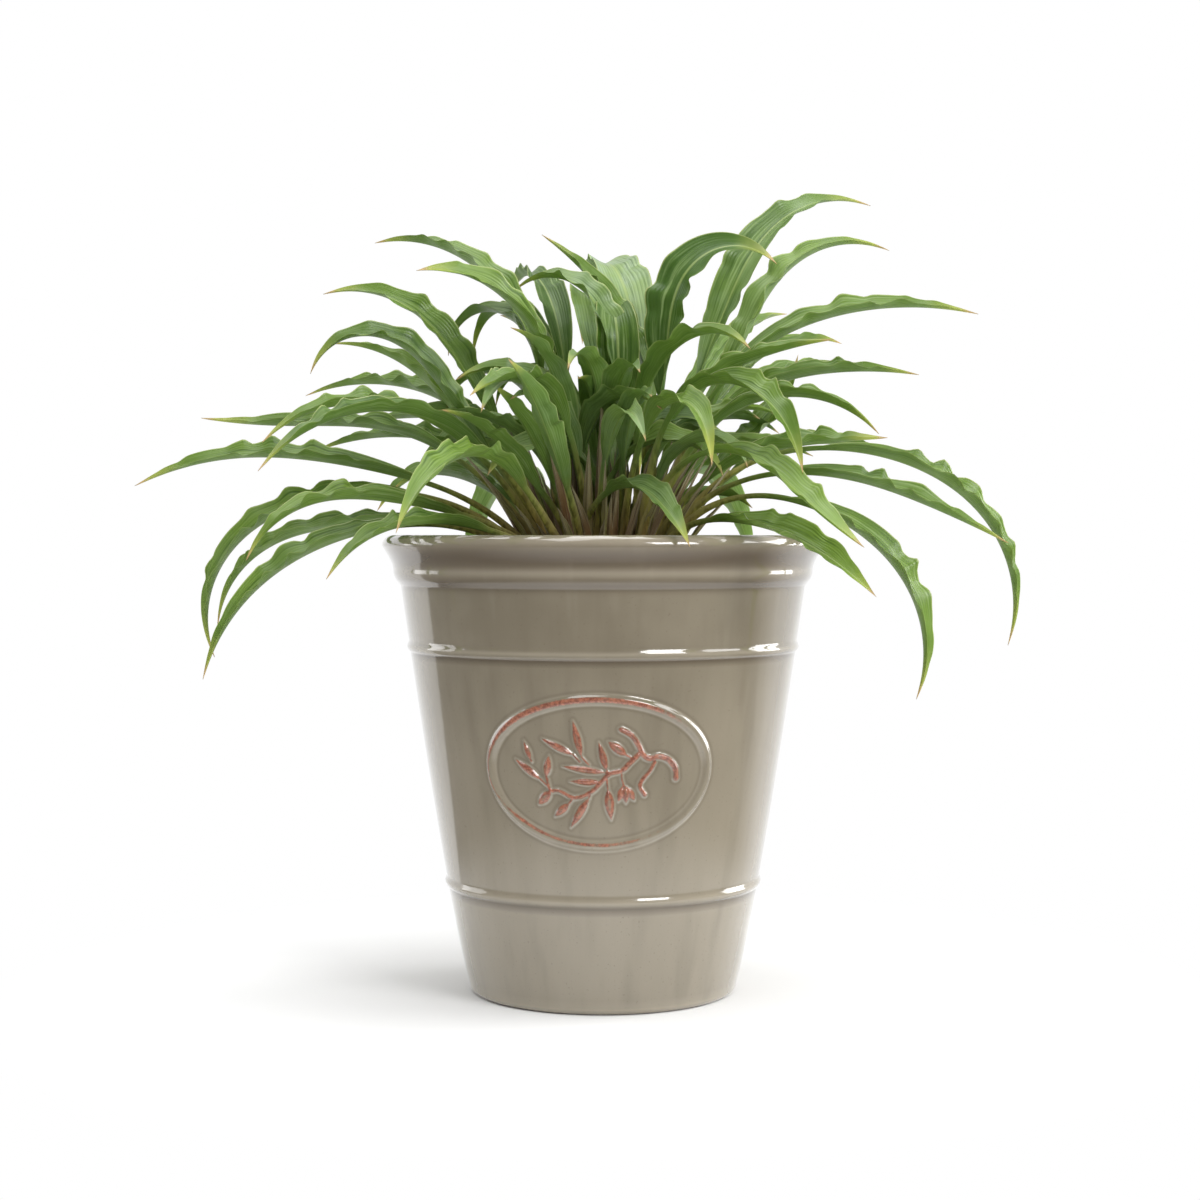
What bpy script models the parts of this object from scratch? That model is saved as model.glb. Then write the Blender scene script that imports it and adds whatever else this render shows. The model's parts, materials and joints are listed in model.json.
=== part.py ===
"""Potted hosta: a glazed clay pot with a moulded oval medallion, filled with potting
mix, and a clump of narrow wavy-leaved hosta whose leaves arch out of a low crown.

Metres, +Z up.  The origin is the middle of the pot's foot, where the pot stands.
-Y is the front, the side that carries the medallion.
"""
import math
from collections import namedtuple

import bmesh
import bpy
from mathutils import Vector
from mathutils.bvhtree import BVHTree

MM = 0.001

# ---- pot: driving sizes -------------------------------------------------------------
POT_HEIGHT = 248 * MM
FOOT_RADIUS = 71.5 * MM        # where the wall would meet the ground
COLLAR_Z = 220.5 * MM          # top of the plain tapered wall, in the crease under the collar
COLLAR_RADIUS = 109.8 * MM
WALL_SWELL = 0.82              # power of the taper: below 1 the wall swells outwards
LIP_RADIUS = 120 * MM
LIP_DEPTH = 10 * MM            # width of the rounded lip, seen from above
WALL = 8 * MM
FLOOR = 10 * MM
FOOT_ROUNDING = 4 * MM
DRAIN_HOLES = 3                # round holes through the flat base
DRAIN_RADIUS = 6.5 * MM
DRAIN_DISTANCE = 34 * MM       # from the base's middle
RIM_SHAPE = (                  # lip, flare and soft collar: distance in from the lip, height
    (1.4, 246.2), (0.3, 244.3), (0.0, 242.6), (0.9, 240.8), (3.4, 236.6), (5.2, 233.0),
    (6.0, 230.0), (6.2, 227.2), (7.3, 224.4), (8.9, 222.3))
RIDGES = (188 * MM, 60.5 * MM)  # heights of the two thin raised lines round the wall
RIDGE_HEIGHT = 6 * MM
RIDGE_PROUD = 1.2 * MM
TURN_STEPS = 48                # facets round the pot

# ---- medallion: a raised oval ring moulded on the front ------------------------------
MEDALLION_Z = 128 * MM
MEDALLION_ARC = 122 * MM       # outer width, measured round the wall
MEDALLION_HEIGHT = 81 * MM
MEDALLION_SIDE = 1.6           # degrees to the left of straight ahead
RING_WIDTH = 5.6 * MM
RING_PROUD = 2.0 * MM

# ---- soil and crown ------------------------------------------------------------------
SOIL_TOP = 226 * MM
SOIL_MOUND = 2 * MM
CROWN_RADIUS = 44 * MM
CROWN_HEIGHT = 6 * MM
GAP = 0.3 * MM                 # left between pieces that touch

# ---- leaves --------------------------------------------------------------------------
# Each leaf leaves the crown in a vertical plane that faces `azimuth` (degrees from +X
# towards +Y).  `pitch` is its slope above level, in degrees, at the crown, at one third,
# at two thirds and at the tip.  `root` is (distance, azimuth) of the root from the
# crown's middle where the leaf doesn't start straight under itself.
Leaf = namedtuple("Leaf", "azimuth length width pitch root", defaults=(None,))
LEAVES = (
    # short leaves at the front of the middle
    Leaf(255, 152, 14, (88, 84, 50, -45), (8, 284)),
    Leaf(300, 146, 14, (90, 84, 20, -30), (14, 219)),
    Leaf(297, 150, 16, (70, 25, -18, -46), (21, 223)),
    # tall leaves in the middle
    Leaf(107, 246, 27, (88, 82, 46, -40), (25, 20)),
    Leaf(98, 240, 26, (86, 79, 34, -60), (14, 90)),
    Leaf(150, 200, 20, (90, 87, 66, -32), (12, 300)),
    Leaf(160, 205, 16, (90, 90, 58, 36), (26, 0)),
    Leaf(106, 246, 18, (90, 84, 36, -24), (18, 180)),
    Leaf(152, 196, 20, (88, 82, 54, -84), (21, 180)),
    Leaf(232, 146, 15, (88, 73, 64, 10)),
    Leaf(292, 180, 16, (88, 56, 0, -75)),
    Leaf(247, 196, 16, (76, 58, 6, -22)),
    Leaf(252, 153, 15, (58, 48, 40, 20)),
    # left-hand side, top to bottom
    Leaf(142, 256, 19, (80, 82, 40, -4), (20, 207)),
    Leaf(214, 208, 22, (88, 82, 47, -10), (16, 202)),
    Leaf(174, 214, 20, (71, 62, 50, -12)),
    Leaf(198, 203, 18, (67, 52, 43, -66)),
    Leaf(168, 186, 16, (65, 54, 43, 0)),
    Leaf(205, 203, 17, (64, 45, 7, -42)),
    Leaf(178, 222, 17, (64, 37, 1, 8)),
    Leaf(216, 222, 17, (70, 39, -4, -46)),
    Leaf(184, 238, 18, (56, 19, 3, -26)),
    Leaf(188, 246, 20, (54, 9, -32, -108)),
    Leaf(238, 192, 18, (44, 36, -14, -54)),
    Leaf(208, 188, 18, (42, 15, -3, -62)),
    Leaf(172, 217, 17, (46, 2, -16, -82)),
    Leaf(200, 223, 17, (40, 0, -32, -74)),
    Leaf(222, 160, 15, (34, 13, -10, -50)),
    # right-hand side, top to bottom
    Leaf(24, 274, 24, (79, 68, 59, -12), (28, 37)),
    Leaf(358, 216, 22, (92, 78, 76, -42), (24, 326)),
    Leaf(8, 243, 21, (80, 64, 58, -18), (25, 22)),
    Leaf(357, 257, 20, (88, 61, 18, -12), (24, 2)),
    Leaf(311, 188, 17, (95, 88, 30, -34), (34, 308)),
    Leaf(341, 181, 20, (97, 72, 26, 6), (27, 330)),
    Leaf(4, 206, 17, (95, 60, 14, -8), (30, 10)),
    Leaf(314, 208, 18, (92, 64, -12, -74), (37, 305)),
    Leaf(345, 183, 16, (90, 59, 8, -46), (30, 344)),
    Leaf(312, 208, 20, (95, 28, -30, -28), (38, 299)),
    Leaf(333, 160, 19, (74, 40, 8, 2), (33, 318)),
    Leaf(0, 290, 20, (78, 13, -35, -104), (33, 355)),
    Leaf(349, 215, 16, (78, 16, -18, -28), (33, 342)),
    Leaf(339, 229, 20, (74, -2, -48, -108), (35, 331)),
    Leaf(308, 180, 20, (56, 4, -18, -36), (39, 310)),
    # behind the clump
    Leaf(157, 215, 17, (64, 53, 14, -16)),
    Leaf(165, 170, 17, (74, 46, 6, -20)),
    Leaf(128, 210, 17, (86, 76, 46, -75), (19, 162)),
    Leaf(150, 130, 15, (65, 36, 12, -30)),
    Leaf(136, 190, 19, (58, 30, -5, -40)),
    Leaf(112, 238, 19, (50, 22, -24, -68)),
    Leaf(92, 252, 20, (52, 28, -20, -68)),
    Leaf(82, 250, 21, (74, 48, -8, -62)),
    Leaf(66, 246, 20, (50, 22, -22, -64)),
    Leaf(58, 255, 19, (60, 50, 34, 6)),
    Leaf(38, 215, 18, (70, 58, 34, -10)),
    Leaf(30, 160, 16, (76, 42, 40, 76)),
    Leaf(20, 180, 16, (66, 40, 6, -24)),
    Leaf(45, 137, 16, (62, 48, 28, -8)),
)
PETIOLE_WIDTH = 4.4 * MM
PETIOLE_SHARE = 0.33           # part of the leaf's length that is stalk
SOLID_SHARE = 0.85             # the solid is narrower than the blade with its wavy margin
LEAF_THICKNESS = 0.8 * MM
CHANNEL = 0.36                 # height of the margin over the midrib, to its distance
LEAF_STATIONS = 12
LEAF_CLEARANCE = 0.6 * MM      # kept round every leaf when the clump is put together
MOST_TURN = 24                 # degrees that a leaf may be turned to find its place
ROOT_STEP = 3 * MM             # and the steps by which its root may move in or out
ROOT_STEPS = (-2, 4)


def paint(obj, name, colour, roughness, coat=0.0):
    """Give an object its own Principled material."""
    material = bpy.data.materials.new(name)
    material.use_nodes = True
    shader = material.node_tree.nodes["Principled BSDF"]
    shader.inputs["Base Color"].default_value = (*colour, 1.0)
    shader.inputs["Roughness"].default_value = roughness
    shader.inputs["Coat Weight"].default_value = coat
    material.diffuse_color = (*colour, 1.0)
    obj.data.materials.append(material)


def arc(centre, radius, start, end, count):
    """Points of an arc in the (r, z) half-plane, angles in degrees."""
    points = []
    for step in range(count):
        angle = math.radians(start + (end - start) * step / (count - 1))
        points.append((centre[0] + radius * math.cos(angle), centre[1] + radius * math.sin(angle)))
    return points


def turned(name, profile, collection):
    """A body of revolution about Z from a closed (r, z) outline."""
    mesh = bpy.data.meshes.new(name)
    edges = [(i, (i + 1) % len(profile)) for i in range(len(profile))]
    mesh.from_pydata([(r, 0.0, z) for r, z in profile], edges, [])
    obj = bpy.data.objects.new(name, mesh)
    collection.objects.link(obj)
    screw = obj.modifiers.new("turn", "SCREW")
    screw.axis = "Z"
    screw.steps = TURN_STEPS
    screw.render_steps = TURN_STEPS
    screw.use_merge_vertices = True
    screw.merge_threshold = 0.00001
    screw.use_smooth_shade = True
    return obj


# ---- pot -------------------------------------------------------------------------------

def wall_radius(z):
    """Radius of the plain tapered wall at height z."""
    share = max(0.0, min(1.0, z / COLLAR_Z))
    return FOOT_RADIUS + (COLLAR_RADIUS - FOOT_RADIUS) * share ** WALL_SWELL


def ridge(z):
    """A thin raised line: eases out of the wall above it and ends in a crisp edge below."""
    r = wall_radius(z)
    half = RIDGE_HEIGHT / 2
    return [
        (wall_radius(z + half), z + half),
        (r + 0.6 * RIDGE_PROUD, z + 0.4 * half),
        (r + RIDGE_PROUD, z - 0.1 * half),
        (r + 0.7 * RIDGE_PROUD, z - 0.75 * half),
        (wall_radius(z - half), z - half),
    ]


def make_pot(collection):
    """Rounded lip, flare, soft collar, tapered wall with two ridges, flat drained base."""
    lip = LIP_DEPTH / 2
    outline = arc((LIP_RADIUS - lip, POT_HEIGHT - lip), lip, 180, 72, 5)
    outline += [(LIP_RADIUS - inwards * MM, z * MM) for inwards, z in RIM_SHAPE]
    outline.append((COLLAR_RADIUS, COLLAR_Z))
    outline += ridge(RIDGES[0])
    outline += [(wall_radius(z), z) for z in (152 * MM, 118 * MM, 88 * MM)]
    outline += ridge(RIDGES[1])
    outline += [(wall_radius(z), z) for z in (38 * MM, 18 * MM)]
    foot = FOOT_ROUNDING
    outline += arc((wall_radius(foot) - foot, foot), foot, -10, -90, 4)
    outline += [(0.0, 0.0), (0.0, FLOOR)]
    outline += [(wall_radius(z) - WALL, z) for z in (FLOOR, 60 * MM, 130 * MM, 200 * MM)]
    outline.append((LIP_RADIUS - LIP_DEPTH - 3 * MM, 228 * MM))
    pot = turned("pot", outline, collection)
    open_axis(pot)
    cut_into_mesh(pot)

    ring = make_medallion_ring(collection)
    combine(pot, ring, "UNION")
    for hole in range(DRAIN_HOLES):
        combine(pot, make_drain_cutter(hole, collection), "DIFFERENCE")
    paint(pot, "glazed_clay", (0.33, 0.29, 0.25), 0.22, 0.6)
    return pot


def open_axis(obj):
    """Drop a turned outline's edge on the axis, which would turn into nothing."""
    shape = bmesh.new()
    shape.from_mesh(obj.data)
    on_axis = [e for e in shape.edges if all(abs(v.co.x) < 1e-9 for v in e.verts)]
    bmesh.ops.delete(shape, geom=on_axis, context="EDGES")
    shape.to_mesh(obj.data)
    shape.free()


def combine(obj, other, operation):
    """Join another solid to the object, or cut it out, and remove the other one."""
    boolean = obj.modifiers.new("combine", "BOOLEAN")
    boolean.operation = operation
    boolean.object = other
    cut_into_mesh(obj)
    bpy.data.objects.remove(other)


def cut_into_mesh(obj):
    """Apply the object's modifiers and keep the result as its own mesh."""
    graph = bpy.context.evaluated_depsgraph_get()
    mesh = bpy.data.meshes.new_from_object(obj.evaluated_get(graph))
    obj.modifiers.clear()
    obj.data = mesh
    mesh.shade_smooth()
    mesh.set_sharp_from_angle(angle=math.radians(40))


def make_drain_cutter(hole, collection):
    """An upright cylinder where a drain hole goes through the base."""
    mesh = bpy.data.meshes.new("drain_cutter")
    shape = bmesh.new()
    bmesh.ops.create_cone(shape, cap_ends=True, segments=20, radius1=DRAIN_RADIUS,
                          radius2=DRAIN_RADIUS, depth=3 * FLOOR)
    shape.to_mesh(mesh)
    shape.free()
    cutter = bpy.data.objects.new("drain_cutter", mesh)
    angle = math.radians(90) + math.tau * hole / DRAIN_HOLES
    cutter.location.x = DRAIN_DISTANCE * math.cos(angle)
    cutter.location.y = DRAIN_DISTANCE * math.sin(angle)
    collection.objects.link(cutter)
    return cutter


def make_medallion_ring(collection):
    """The raised oval: a low half-round bead wrapped on the wall, sunk into it by half."""
    mesh = bpy.data.meshes.new("medallion_ring")
    shape = bmesh.new()
    around, section = 44, 6
    half_width = MEDALLION_ARC / 2 - RING_WIDTH / 2
    half_height = MEDALLION_HEIGHT / 2 - RING_WIDTH / 2
    middle = math.radians(-90 - MEDALLION_SIDE)
    rings = []
    for step in range(around):
        angle = math.tau * step / around
        loop = []
        for corner in range(section):
            turn = math.tau * corner / section
            reach = RING_WIDTH / 2 * math.cos(turn)
            lift = RING_PROUD * math.sin(turn)
            along = (half_width + reach) * math.cos(angle)
            z = MEDALLION_Z + (half_height + reach) * math.sin(angle)
            r = wall_radius(z) + lift
            side = middle + along / wall_radius(MEDALLION_Z)
            loop.append(shape.verts.new((r * math.cos(side), r * math.sin(side), z)))
        rings.append(loop)
    for step in range(around):
        one, two = rings[step], rings[(step + 1) % around]
        for corner in range(section):
            after = (corner + 1) % section
            shape.faces.new((one[corner], two[corner], two[after], one[after]))
    bmesh.ops.recalc_face_normals(shape, faces=shape.faces)
    shape.to_mesh(mesh)
    shape.free()
    ring = bpy.data.objects.new("medallion_ring", mesh)
    collection.objects.link(ring)
    return ring


# ---- soil and crown ----------------------------------------------------------------------

def make_soil(collection):
    """Potting mix: fills the pot from its floor to a little under the rim."""
    heights = (FLOOR + GAP, 60 * MM, 130 * MM, 200 * MM)
    side = [(wall_radius(z) - WALL - 2 * GAP, z) for z in reversed(heights)]
    edge = LIP_RADIUS - LIP_DEPTH - 4.5 * MM
    top = [(0.0, SOIL_TOP), (CROWN_RADIUS, SOIL_TOP), (edge * 0.8, SOIL_TOP - SOIL_MOUND)]
    outline = top + [(edge, SOIL_TOP - 1.5 * SOIL_MOUND)] + side + [(0.0, FLOOR + GAP)]
    soil = turned("soil", outline, collection)
    open_axis(soil)
    paint(soil, "potting_mix", (0.045, 0.03, 0.02), 0.95)
    return soil


def crown_height(radius):
    """Height of the crown's surface at a distance from its middle."""
    share = min(1.0, radius / CROWN_RADIUS)
    return SOIL_TOP + GAP + CROWN_HEIGHT * (1 - share ** 3)


def make_crown(collection):
    """The low woody crown on the potting mix, which the leaf stalks grow from."""
    rings = [CROWN_RADIUS * share for share in (0.0, 0.3, 0.55, 0.75, 0.9)]
    outline = [(r, crown_height(r)) for r in rings]
    outline += [(CROWN_RADIUS, SOIL_TOP + GAP + 1 * MM), (CROWN_RADIUS, SOIL_TOP + GAP)]
    outline.append((0.0, SOIL_TOP + GAP))
    crown = turned("crown", outline, collection)
    open_axis(crown)
    paint(crown, "crown_skin", (0.20, 0.16, 0.07), 0.8)
    return crown


# ---- leaves --------------------------------------------------------------------------------

def slope(pitch, share):
    """Slope in degrees at a share of the length, smooth through the four given ones."""
    place = share * 3
    i = min(2, int(place))
    f = place - i
    before = pitch[i - 1] if i else 2 * pitch[0] - pitch[1]
    after = pitch[i + 2] if i < 2 else 2 * pitch[3] - pitch[2]
    enter, leave = (pitch[i + 1] - before) / 2, (after - pitch[i]) / 2
    drop = pitch[i + 1] - pitch[i]
    return pitch[i] + f * (enter + f * (3 * drop - 2 * enter - leave + f * (enter + leave - 2 * drop)))


def leaf_width(leaf, share):
    """Full width at a share of the length: stalk, then a blade tapering to a long tip."""
    stalk = PETIOLE_WIDTH * (1 - 0.45 * share)
    blade = (share - PETIOLE_SHARE) / (1 - PETIOLE_SHARE)
    if blade <= 0.0:
        return stalk
    full = 4.05 * blade ** 0.9 * (1 - blade) ** 1.1
    return stalk * (1 - blade) + (leaf.width * MM * SOLID_SHARE - PETIOLE_WIDTH / 2) * full + 0.6 * MM


def root_of(leaf):
    """Root distance and azimuth: steep leaves start near the middle, flat ones outside."""
    if leaf.root:
        return leaf.root[0] * MM, leaf.root[1]
    steep = max(0.0, min(1.0, (leaf.pitch[0] - 40) / 50))
    return (12 + 20 * (1 - steep ** 2)) * MM, leaf.azimuth


def leaf_sections(leaf, turn, shift, margin=0.0):
    """Rows of points across the leaf, from root to tip: left margin, midrib, right margin.

    With a margin, each row is a closed ring of six points at that distance round the leaf.
    """
    distance, direction = root_of(leaf)
    distance += shift
    direction = math.radians(direction + turn)
    heading = math.radians(leaf.azimuth + turn)
    outward = Vector((math.cos(heading), math.sin(heading), 0.0))
    across = Vector((-math.sin(heading), math.cos(heading), 0.0))
    up = Vector((0.0, 0.0, 1.0))
    place = Vector((distance * math.cos(direction), distance * math.sin(direction), 0.0))
    place.z = crown_height(distance) + 1.4 * MM
    stride = leaf.length * MM / (LEAF_STATIONS * 4)
    rows = []
    for step in range(LEAF_STATIONS * 4 + 1):
        share = step / (LEAF_STATIONS * 4)
        pitch = math.radians(slope(leaf.pitch, share))
        along = outward * math.cos(pitch) + up * math.sin(pitch)
        if step:
            place = place + along * stride
        if step % 4:
            continue
        normal = up * math.cos(pitch) - outward * math.sin(pitch)
        half = leaf_width(leaf, share) / 2
        rise = normal * (CHANNEL * half)
        rows.append(ring_round(place, across, normal, half, rise, margin))
    return rows


def ring_round(place, across, normal, half, rise, margin):
    """Points of one row, or of the ring at a distance round it."""
    row = [place - across * half + rise, place, place + across * half + rise]
    if not margin:
        return row
    wide = [row[0] - across * margin, row[1], row[2] + across * margin]
    over = [point + normal * margin for point in wide]
    under = [point - normal * margin for point in reversed(wide)]
    return over + under


def leaf_tree(leaf, turn, shift):
    """Search tree of the sleeve that a leaf keeps clear round itself."""
    rows = leaf_sections(leaf, turn, shift, LEAF_CLEARANCE)
    points = [point for row in rows for point in row]
    faces = [tuple(range(6)), tuple(range(len(points) - 6, len(points)))]
    for i in range(len(rows) - 1):
        for j in range(6):
            k = (j + 1) % 6
            faces.append((i * 6 + j, i * 6 + k, i * 6 + 6 + k, i * 6 + 6 + j))
    return BVHTree.FromPolygons(points, faces)


def places_to_try():
    """Turns about the clump's axis and moves of the root, the smallest changes first."""
    tries = []
    for turn in range(-MOST_TURN, MOST_TURN + 1):
        for step in range(ROOT_STEPS[0], ROOT_STEPS[1] + 1):
            tries.append((abs(turn) / 2 + abs(step), turn, step * ROOT_STEP))
    return [(turn, shift) for _, turn, shift in sorted(tries)]


def find_place(leaf, placed):
    """The smallest change of place at which a leaf clears those already in the clump."""
    for turn, shift in places_to_try():
        tree = leaf_tree(leaf, turn, shift)
        if not any(tree.overlap(other) for other in placed):
            placed.append(tree)
            return turn, shift
    raise ValueError(f"no room for the leaf at azimuth {leaf.azimuth}")


def make_leaf(name, leaf, turn, shift, collection):
    """One leaf: a strip of three columns laid along its midrib, with Solidify."""
    rows = leaf_sections(leaf, turn, shift)
    strip = bmesh.new()
    bmesh.ops.create_grid(strip, x_segments=2, y_segments=LEAF_STATIONS, size=1.0)
    for vert in strip.verts:
        column = round(vert.co.x + 1)
        row = round((vert.co.y + 1) / 2 * LEAF_STATIONS)
        vert.co = rows[row][column]
    bmesh.ops.recalc_face_normals(strip, faces=strip.faces)
    mesh = bpy.data.meshes.new(name)
    strip.to_mesh(mesh)
    strip.free()
    obj = bpy.data.objects.new(name, mesh)
    collection.objects.link(obj)
    shell = obj.modifiers.new("thickness", "SOLIDIFY")
    shell.thickness = LEAF_THICKNESS
    shell.offset = 0.0
    mesh.shade_smooth()
    paint(obj, name, (0.10, 0.20, 0.06), 0.45)
    return obj


def tree_of(obj):
    """Search tree of an object's evaluated mesh."""
    graph = bpy.context.evaluated_depsgraph_get()
    return BVHTree.FromObject(obj, graph)


for old in list(bpy.data.objects):
    bpy.data.objects.remove(old)
plant = bpy.data.collections.new("potted_hosta")
bpy.context.scene.collection.children.link(plant)
pot_body = make_pot(plant)
make_soil(plant)
make_crown(plant)
bpy.context.view_layer.update()
taken = [tree_of(pot_body)]
for number, grown in enumerate(LEAVES, 1):
    make_leaf(f"leaf_{number:02d}", grown, *find_place(grown, taken), plant)
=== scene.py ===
"""Potted hosta, dressed: a glazed clay pot with an oval of leafy twigs moulded on it, filled
with potting mix, and a clump of narrow wavy-leaved hosta.

Metres, +Z up.  The pot stands on z = 0 and its oval faces -Y.
"""
import json
import math
import random
from collections import namedtuple

import bmesh
import bpy
import numpy as np
from mathutils import Matrix, Vector, noise
from mathutils.kdtree import KDTree

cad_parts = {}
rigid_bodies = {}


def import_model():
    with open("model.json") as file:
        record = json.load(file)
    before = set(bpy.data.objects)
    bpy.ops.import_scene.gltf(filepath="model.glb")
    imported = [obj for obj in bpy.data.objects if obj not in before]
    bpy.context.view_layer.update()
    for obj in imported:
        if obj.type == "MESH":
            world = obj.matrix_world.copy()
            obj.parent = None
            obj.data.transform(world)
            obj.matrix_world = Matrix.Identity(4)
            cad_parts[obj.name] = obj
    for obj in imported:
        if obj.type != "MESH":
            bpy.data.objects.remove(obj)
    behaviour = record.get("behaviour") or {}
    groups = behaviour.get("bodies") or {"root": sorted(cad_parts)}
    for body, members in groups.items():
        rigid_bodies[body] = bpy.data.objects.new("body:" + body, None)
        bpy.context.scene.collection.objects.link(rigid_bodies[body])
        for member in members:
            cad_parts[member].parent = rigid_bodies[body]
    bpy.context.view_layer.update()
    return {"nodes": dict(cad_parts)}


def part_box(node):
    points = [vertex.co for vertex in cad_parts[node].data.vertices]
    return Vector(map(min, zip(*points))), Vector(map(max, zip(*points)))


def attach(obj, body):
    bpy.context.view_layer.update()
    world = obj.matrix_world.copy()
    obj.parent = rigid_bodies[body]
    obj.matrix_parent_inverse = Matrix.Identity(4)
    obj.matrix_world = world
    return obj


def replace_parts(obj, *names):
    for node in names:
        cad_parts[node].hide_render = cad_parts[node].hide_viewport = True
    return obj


for old in list(bpy.data.objects):
    bpy.data.objects.remove(old)
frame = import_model()
MM = 0.001

# ---- pot ------------------------------------------------------------------------------------
# A turned clay pot with a rolled lip, a collar bead and two raised lines round its wall.  It is
# dipped in a thick taupe glaze, which pools in the hollows and pulls thin over the edges.  Its colour
# has painted shade in the hollows and over its top under the lip and the leaves, and painted
# highlights on the crests.
POT_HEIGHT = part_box("pot")[1].z
LIP_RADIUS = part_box("pot")[1].x
LIP_DEPTH = 10 * MM
FOOT_RADIUS = 71.5 * MM
FOOT_ROUNDING = 4 * MM
COLLAR_Z = 220.5 * MM
COLLAR_RADIUS = 109.8 * MM
WALL_SWELL = 0.82
WALL = 8 * MM
FLOOR = 10 * MM
INSIDE_TOP = 214 * MM          # where the plain wall ends inside, under the flare
INSIDE_RIM = ((104.5, 224), (108, 234))   # the inside of the flare: radius, height
RIM_SHAPE = (                  # lip, flare and soft collar: distance in from the lip, height
    (1.4, 246.2), (0.3, 244.3), (0.0, 242.6), (0.9, 240.8), (3.4, 236.6), (5.2, 233.0),
    (6.0, 230.0), (6.2, 227.2), (7.3, 224.4), (8.9, 222.3), (10.0, 220.9))
RIDGES = (188 * MM, 60.5 * MM)
RIDGE_PROUD = 1.4 * MM
RIDGE_ABOVE = 3.4 * MM         # reach of a raised line over its crest
RIDGE_BELOW = 2.6 * MM         # and under it
THIN_GLAZE_AND_HIGHLIGHT = ((245.5, 3.6), (228.8, 2.2), (2.5, 1.8))   # crests of lip, collar and foot, paler for thin glaze and painted highlight: height, reach
POOLED_GLAZE_AND_SHADE = ((236.4, 5.2), (222.5, 2.8))             # and the hollows under the lip and the collar, darker for pooling glaze and painted shade
DRAIN_HOLES = 3
DRAIN_RADIUS = 6.5 * MM
DRAIN_DISTANCE = 34 * MM
OVAL_Z = 128 * MM              # height of the moulded oval's middle
OVAL_SIDE = math.radians(1.6)  # how far it sits to the left of straight ahead
OVAL_REACH = 64 * MM           # half the width of wall that has the fine mesh for it
OVAL_MESH = 0.54 * MM


def wall_radius(z):
    """Radius of the plain tapered wall at height z."""
    share = np.clip(z / COLLAR_Z, 0.0, 1.0)
    return FOOT_RADIUS + (COLLAR_RADIUS - FOOT_RADIUS) * share ** WALL_SWELL


def smooth(low, high, value):
    """0 at low, 1 at high, eased in between."""
    share = np.clip((value - low) / (high - low), 0.0, 1.0)
    return share * share * (3 - 2 * share)


def ridge_height(z):
    """How far the raised lines stand off the wall: long shoulder above, short one below."""
    proud = 0.0
    for crest in RIDGES:
        above = smooth(crest + RIDGE_ABOVE, crest, z)
        below = math.sqrt(max(0.0, 1 - (max(0.0, crest - z) / RIDGE_BELOW) ** 2))
        proud = max(proud, RIDGE_PROUD * min(above, below))
    return proud


def arc(centre, radius, start, end, count):
    """Points of an arc in the (r, z) half-plane, angles in degrees."""
    angles = np.radians(np.linspace(start, end, count))
    return [(centre[0] + radius * math.cos(a), centre[1] + radius * math.sin(a)) for a in angles]


def curve_through(points, count):
    """Points on a smooth curve through the given ones, count to each span."""
    ends = [points[0], *points, points[-1]]
    run = []
    for span in zip(ends, ends[1:], ends[2:], ends[3:]):
        for f in np.arange(count) / count:
            shares = (f * (f - 0.5 - f * f / 2), 1 + f * f * (1.5 * f - 2.5),
                      f * (0.5 + 2 * f - 1.5 * f * f), f * f * (f - 1) / 2)
            run.append(tuple(sum(share * value for share, value in zip(shares, along))
                             for along in zip(*span)))
    return run + [points[-1]]


def wall_heights():
    """Heights of the outer wall's rows, top to bottom: close together where it is moulded."""
    fine, plain = 0.6 * MM, 3 * MM
    stops = ((220.2, fine), (216, plain), (193, fine), (184.5, plain), (171, OVAL_MESH), (85.5, plain),
             (65.5, fine), (57, 4 * MM), (FOOT_ROUNDING / MM, None))
    heights = []
    for (high, spacing), (low, _) in zip(stops, stops[1:]):
        high, low = high * MM, low * MM
        count = round((high - low) / spacing)
        heights += [high + (low - high) * step / count for step in range(count)]
    return heights


def pot_outline():
    """The pot's (r, z) outline from the inner floor's middle, over the lip, to the foot's."""
    lip = LIP_DEPTH / 2
    inside = [(wall_radius(z) - WALL, z) for z in np.linspace(FLOOR, INSIDE_TOP, 12)]
    outline = [(0.0, FLOOR), (30 * MM, FLOOR), *inside]
    outline += [(radius * MM, z * MM) for radius, z in INSIDE_RIM]
    outline += arc((LIP_RADIUS - lip, POT_HEIGHT - lip), lip, 180, 72, 12)
    outline += curve_through([(LIP_RADIUS - inwards * MM, z * MM) for inwards, z in RIM_SHAPE], 4)
    outline += [(wall_radius(z) + ridge_height(z), z) for z in wall_heights()]
    turn_in = wall_radius(FOOT_ROUNDING) - FOOT_ROUNDING
    outline += arc((turn_in, FOOT_ROUNDING), FOOT_ROUNDING, 0, -90, 8)
    return outline + [(52 * MM, 0.0), (20 * MM, 0.0), (0.0, 0.0)]


def turn_angles():
    """Angles round the pot: close together across the oval, wide apart elsewhere."""
    reach = OVAL_REACH / wall_radius(OVAL_Z)
    fine = np.linspace(-reach, reach, round(2 * OVAL_REACH / OVAL_MESH))
    coarse = np.linspace(reach, math.tau - reach, 82)[1:-1]
    return np.concatenate((fine, coarse)) - math.pi / 2 - OVAL_SIDE


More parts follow.
